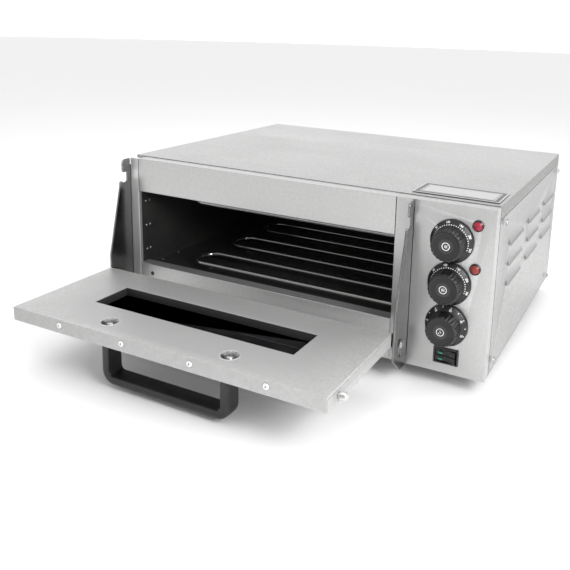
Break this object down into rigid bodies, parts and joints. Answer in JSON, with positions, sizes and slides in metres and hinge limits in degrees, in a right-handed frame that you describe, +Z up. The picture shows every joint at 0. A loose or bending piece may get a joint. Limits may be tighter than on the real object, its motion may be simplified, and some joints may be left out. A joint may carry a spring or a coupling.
{
  "type": "countertop pizza oven",
  "caption": "Stainless box-shaped electric pizza oven for a counter, with a drop-down door, bow handle, tube heaters and dial controls on the right.",
  "frame": {"origin": "middle of the overall box seen from above, with the door open, on the surface the feet stand on", "axes": "+X to the oven's right, +Y to its back, +Z up; the door opens towards -Y"},
  "size_m": [0.5782, 0.6794, 0.2502],
  "materials": {
    "casing_steel": "brushed stainless sheet",
    "door_steel": "brushed stainless sheet",
    "chamber_steel": "dark, heat-stained sheet",
    "element_sheath": "dark polished tube",
    "insulation": "mineral wool blanket",
    "fastener_steel": "bright steel",
    "black_plastic": "satin heat-resistant plastic",
    "handle_plastic": "satin moulded plastic",
    "lamp_lens": "tinted clear lens",
    "window_glass": "tempered glass",
    "rubber_feet": "matt",
    "pale_plastic": "matt",
    "plate_metal": "satin printed plate"
  },
  "bodies": {
    "oven": {"top_cover": "casing_steel", "left_side_panel": "casing_steel", "right_side_panel": "casing_steel", "back_panel": "casing_steel", "base_pan": "casing_steel", "control_panel": "casing_steel", "header_panel": "casing_steel", "front_sill": "casing_steel", "left_stile": "casing_steel", "door_bracket_left": "casing_steel", "door_bracket_right": "casing_steel", "chamber_floor": "chamber_steel", "chamber_left_wall": "chamber_steel", "chamber_right_wall": "chamber_steel", "chamber_back_wall": "chamber_steel", "chamber_ceiling": "chamber_steel", "insulation_wrap": "insulation", "insulation_top": "insulation", "insulation_bottom": "insulation", "heating_element_lower_1": "element_sheath", "heating_element_lower_2": "element_sheath", "heating_element_lower_3": "element_sheath", "heating_element_upper_1": "element_sheath", "heating_element_upper_2": "element_sheath", "heating_element_upper_3": "element_sheath", "thermostat_upper": "pale_plastic", "thermostat_lower": "pale_plastic", "timer": "pale_plastic", "thermostat_bulb_upper": "fastener_steel", "thermostat_bulb_lower": "fastener_steel", "pilot_lamp_upper": "lamp_lens", "pilot_lamp_lower": "lamp_lens", "foot_front_left": "rubber_feet", "foot_front_right": "rubber_feet", "foot_rear_left": "rubber_feet", "foot_rear_right": "rubber_feet", "switch_housing": "black_plastic", "terminal_block": "pale_plastic", "cable_gland": "black_plastic", "nameplate": "plate_metal"},
    "door_pivots": {"pivot_bolt_left": "fastener_steel", "pivot_bolt_right": "fastener_steel"},
    "door": {"door_outer_panel": "door_steel", "door_inner_panel": "door_steel", "door_glass": "window_glass", "door_insulation": "insulation", "door_handle": "handle_plastic", "hinge_ear_left": "fastener_steel", "hinge_ear_right": "fastener_steel", "latch_stud_left": "fastener_steel", "latch_stud_right": "fastener_steel"},
    "upper_thermostat_knob": {"knob_upper": "black_plastic", "shaft_upper": "fastener_steel"},
    "lower_thermostat_knob": {"knob_lower": "black_plastic", "shaft_lower": "fastener_steel"},
    "timer_knob": {"knob_timer": "black_plastic", "shaft_timer": "fastener_steel"},
    "upper_switch_rocker": {"rocker_upper": "black_plastic"},
    "lower_switch_rocker": {"rocker_lower": "black_plastic"}
  },
  "joints": [
    {"name": "door_drop", "type": "slide", "parent": "oven", "child": "door_pivots", "axis": [0, 0, 1], "range_m": [-0.014, 0]},
    {"name": "door_hinge", "type": "hinge", "parent": "door_pivots", "child": "door", "pos_m": [-0.0505, -0.1417, 0.063], "axis": [-1, 0, 0], "range_deg": [0, 90]},
    {"name": "upper_thermostat_turn", "type": "hinge", "parent": "oven", "child": "upper_thermostat_knob", "pos_m": [0.23305, -0.1307, 0.2015], "axis": [0, 1, 0], "range_deg": [0, 270]},
    {"name": "lower_thermostat_turn", "type": "hinge", "parent": "oven", "child": "lower_thermostat_knob", "pos_m": [0.23305, -0.1307, 0.14625], "axis": [0, 1, 0], "range_deg": [0, 270]},
    {"name": "timer_turn", "type": "hinge", "parent": "oven", "child": "timer_knob", "pos_m": [0.23305, -0.1307, 0.091], "axis": [0, 1, 0], "range_deg": [0, 300]},
    {"name": "upper_switch_tilt", "type": "hinge", "parent": "oven", "child": "upper_switch_rocker", "pos_m": [0.23505, -0.1132, 0.053], "axis": [0, 0, 1], "range_deg": [0, 14]},
    {"name": "lower_switch_tilt", "type": "hinge", "parent": "oven", "child": "lower_switch_rocker", "pos_m": [0.23505, -0.1132, 0.044], "axis": [0, 0, 1], "range_deg": [0, 14]}
  ],
  "couplings": [
    {"joint": "door_drop", "follows": "door_hinge", "m_per_rad": -0.0089}
  ]
}
